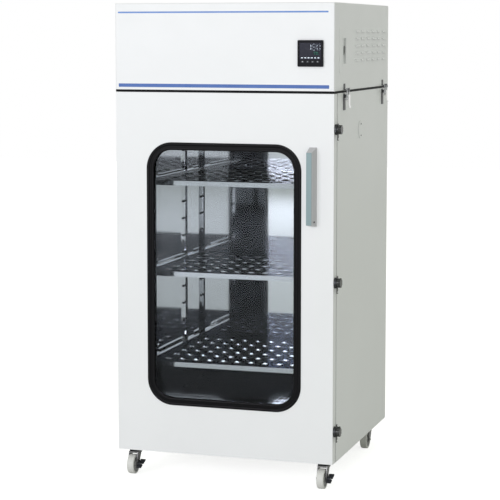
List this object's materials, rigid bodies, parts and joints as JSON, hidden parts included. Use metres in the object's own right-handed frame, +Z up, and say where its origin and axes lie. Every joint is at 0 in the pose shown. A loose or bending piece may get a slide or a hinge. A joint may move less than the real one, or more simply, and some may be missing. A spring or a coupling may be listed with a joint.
{
  "type": "dry heat sterilizer",
  "caption": "Tall insulated cabinet on casters with a glazed side-hinged door, slotted shelves in a steel chamber and a clamped ventilated head.",
  "frame": {"origin": "on the floor, under the middle of the whole object's box", "axes": "+X to the cabinet's right as it is faced, +Y from the door to the back, +Z up"},
  "size_m": [0.8992, 0.914, 1.8],
  "materials": {
    "paint_white": "semi-gloss cool white",
    "stainless_mirror": "bright polished stainless sheet",
    "steel_plated": "bright plated steel",
    "steel_dark": "dark zinc-plated steel",
    "steel_zinc": "dull zinc-plated steel",
    "stripe_blue": "blue film stripe",
    "rubber_black": "satin black rubber",
    "seal_silicone": "pale silicone",
    "aluminium_handle": "satin anodised",
    "glass_clear": "clear tempered glass",
    "wool_pale": "mineral wool board",
    "plastic_black": "black moulded",
    "key_grey": "light grey keys",
    "tread_grey": "light grey tread",
    "filter_alloy": "anodised frame with white media"
  },
  "bodies": {
    "cabinet": {"case_panels": "paint_white", "base_pan": "paint_white", "insulation": "wool_pale", "inner_chamber": "stainless_mirror", "front_frame": "stainless_mirror", "shelf_supports": "stainless_mirror", "shelf_bottom": "stainless_mirror", "shelf_middle": "stainless_mirror", "shelf_top": "stainless_mirror", "head_gasket": "rubber_black", "head_floor": "stainless_mirror", "head_front": "paint_white", "head_panels": "paint_white", "access_panel": "paint_white", "recess_pan": "paint_white", "hepa_filter": "filter_alloy", "plenum_box": "stainless_mirror", "blower_motor": "steel_dark", "air_heater": "steel_dark", "controller_case": "plastic_black", "port_cover": "paint_white", "cable_gland": "plastic_black", "toggle_bases": "steel_plated", "latch_keepers": "steel_plated", "hinge_brackets": "steel_zinc", "caster_plates": "steel_zinc"},
    "door": {"door_skin": "paint_white", "door_liner": "stainless_mirror", "window_rubber": "rubber_black", "window_glass": "glass_clear", "door_seal": "seal_silicone", "door_handle": "aluminium_handle", "door_hardware": "steel_dark"},
    "latch_1": {"latch_knob_1": "steel_plated"},
    "latch_2": {"latch_knob_2": "steel_plated"},
    "latch_3": {"latch_knob_3": "steel_plated"},
    "lever_1": {"toggle_lever_1": "steel_plated"},
    "bail_1": {"toggle_bail_1": "steel_plated"},
    "lever_2": {"toggle_lever_2": "steel_plated"},
    "bail_2": {"toggle_bail_2": "steel_plated"},
    "lever_3": {"toggle_lever_3": "steel_plated"},
    "bail_3": {"toggle_bail_3": "steel_plated"},
    "lever_4": {"toggle_lever_4": "steel_plated"},
    "bail_4": {"toggle_bail_4": "steel_plated"},
    "fork_1": {"caster_fork_1": "steel_zinc"},
    "wheel_1": {"caster_wheel_1": "tread_grey"},
    "fork_2": {"caster_fork_2": "steel_zinc"},
    "wheel_2": {"caster_wheel_2": "tread_grey"},
    "fork_3": {"caster_fork_3": "steel_zinc"},
    "wheel_3": {"caster_wheel_3": "tread_grey"},
    "fork_4": {"caster_fork_4": "steel_zinc"},
    "wheel_4": {"caster_wheel_4": "tread_grey"},
    "pedal_1": {"brake_pedal_1": "plastic_black"},
    "pedal_2": {"brake_pedal_2": "plastic_black"},
    "impeller": {"blower_impeller": "steel_plated"},
    "pull": {"pull_ring": "steel_dark"},
    "key_1": {"controller_key_1": "key_grey"},
    "key_2": {"controller_key_2": "key_grey"},
    "key_3": {"controller_key_3": "key_grey"},
    "key_4": {"controller_key_4": "key_grey"}
  },
  "joints": [
    {"name": "door_hinge", "type": "hinge", "parent": "cabinet", "child": "door", "pos_m": [-0.417, -0.385, 0.8], "axis": [0, 0, -1], "range_deg": [0, 110]},
    {"name": "latch_turn_1", "type": "hinge", "parent": "door", "child": "latch_1", "pos_m": [0.435, -0.398, 0.221], "axis": [1, 0, 0], "range_deg": [0, 107.3]},
    {"name": "latch_turn_2", "type": "hinge", "parent": "door", "child": "latch_2", "pos_m": [0.435, -0.398, 0.777], "axis": [1, 0, 0], "range_deg": [0, 107.3]},
    {"name": "latch_turn_3", "type": "hinge", "parent": "door", "child": "latch_3", "pos_m": [0.435, -0.398, 1.34], "axis": [1, 0, 0], "range_deg": [0, 107.3]},
    {"name": "lever_swing_1", "type": "hinge", "parent": "cabinet", "child": "lever_1", "pos_m": [0.439, -0.276, 1.458], "axis": [0, -1, 0], "range_deg": [0, 90]},
    {"name": "bail_swing_1", "type": "hinge", "parent": "lever_1", "child": "bail_1", "pos_m": [0.439, -0.276, 1.446], "axis": [0, -1, 0], "range_deg": [-67.5, 0]},
    {"name": "lever_swing_2", "type": "hinge", "parent": "cabinet", "child": "lever_2", "pos_m": [0.439, 0.332, 1.458], "axis": [0, -1, 0], "range_deg": [0, 90]},
    {"name": "bail_swing_2", "type": "hinge", "parent": "lever_2", "child": "bail_2", "pos_m": [0.439, 0.332, 1.446], "axis": [0, -1, 0], "range_deg": [-67.5, 0]},
    {"name": "lever_swing_3", "type": "hinge", "parent": "cabinet", "child": "lever_3", "pos_m": [-0.439, -0.276, 1.458], "axis": [0, 1, 0], "range_deg": [0, 90]},
    {"name": "bail_swing_3", "type": "hinge", "parent": "lever_3", "child": "bail_3", "pos_m": [-0.439, -0.276, 1.446], "axis": [0, 1, 0], "range_deg": [-67.5, 0]},
    {"name": "lever_swing_4", "type": "hinge", "parent": "cabinet", "child": "lever_4", "pos_m": [-0.439, 0.332, 1.458], "axis": [0, 1, 0], "range_deg": [0, 90]},
    {"name": "bail_swing_4", "type": "hinge", "parent": "lever_4", "child": "bail_4", "pos_m": [-0.439, 0.332, 1.446], "axis": [0, 1, 0], "range_deg": [-67.5, 0]},
    {"name": "caster_swivel_1", "type": "hinge", "parent": "cabinet", "child": "fork_1", "pos_m": [-0.377, -0.359, 0.08], "axis": [0, 0, 1], "continuous": true},
    {"name": "wheel_spin_1", "type": "hinge", "parent": "fork_1", "child": "wheel_1", "pos_m": [-0.377, -0.387, 0.0375], "axis": [1, 0, 0], "continuous": true},
    {"name": "caster_swivel_2", "type": "hinge", "parent": "cabinet", "child": "fork_2", "pos_m": [0.377, -0.359, 0.08], "axis": [0, 0, 1], "continuous": true},
    {"name": "wheel_spin_2", "type": "hinge", "parent": "fork_2", "child": "wheel_2", "pos_m": [0.377, -0.387, 0.0375], "axis": [1, 0, 0], "continuous": true},
    {"name": "caster_swivel_3", "type": "hinge", "parent": "cabinet", "child": "fork_3", "pos_m": [-0.377, 0.31, 0.08], "axis": [0, 0, 1], "continuous": true},
    {"name": "wheel_spin_3", "type": "hinge", "parent": "fork_3", "child": "wheel_3", "pos_m": [-0.377, 0.282, 0.0375], "axis": [1, 0, 0], "continuous": true},
    {"name": "caster_swivel_4", "type": "hinge", "parent": "cabinet", "child": "fork_4", "pos_m": [0.377, 0.31, 0.08], "axis": [0, 0, 1], "continuous": true},
    {"name": "wheel_spin_4", "type": "hinge", "parent": "fork_4", "child": "wheel_4", "pos_m": [0.377, 0.282, 0.0375], "axis": [1, 0, 0], "continuous": true},
    {"name": "brake_1", "type": "hinge", "parent": "fork_1", "child": "pedal_1", "pos_m": [-0.377, -0.387, 0.0375], "axis": [-1, 0, 0], "range_deg": [0, 15]},
    {"name": "brake_2", "type": "hinge", "parent": "fork_2", "child": "pedal_2", "pos_m": [0.377, -0.387, 0.0375], "axis": [-1, 0, 0], "range_deg": [0, 15]},
    {"name": "impeller_spin", "type": "hinge", "parent": "cabinet", "child": "impeller", "pos_m": [0, -0.019, 1.56], "axis": [0, 0, 1], "continuous": true},
    {"name": "pull_swing", "type": "hinge", "parent": "cabinet", "child": "pull", "pos_m": [0.42, -0.279, 1.639], "axis": [0, -1, 0], "range_deg": [0, 90]},
    {"name": "key_press_1", "type": "slide", "parent": "cabinet", "child": "key_1", "axis": [0, 1, 0], "range_m": [0, 0.0008], "stiffness_N_per_m": 400},
    {"name": "key_press_2", "type": "slide", "parent": "cabinet", "child": "key_2", "axis": [0, 1, 0], "range_m": [0, 0.0008], "stiffness_N_per_m": 400},
    {"name": "key_press_3", "type": "slide", "parent": "cabinet", "child": "key_3", "axis": [0, 1, 0], "range_m": [0, 0.0008], "stiffness_N_per_m": 400},
    {"name": "key_press_4", "type": "slide", "parent": "cabinet", "child": "key_4", "axis": [0, 1, 0], "range_m": [0, 0.0008], "stiffness_N_per_m": 400}
  ],
  "couplings": [
    {"joint": "bail_swing_1", "follows": "lever_swing_1", "ratio": -0.75},
    {"joint": "bail_swing_2", "follows": "lever_swing_2", "ratio": -0.75},
    {"joint": "bail_swing_3", "follows": "lever_swing_3", "ratio": -0.75},
    {"joint": "bail_swing_4", "follows": "lever_swing_4", "ratio": -0.75}
  ]
}
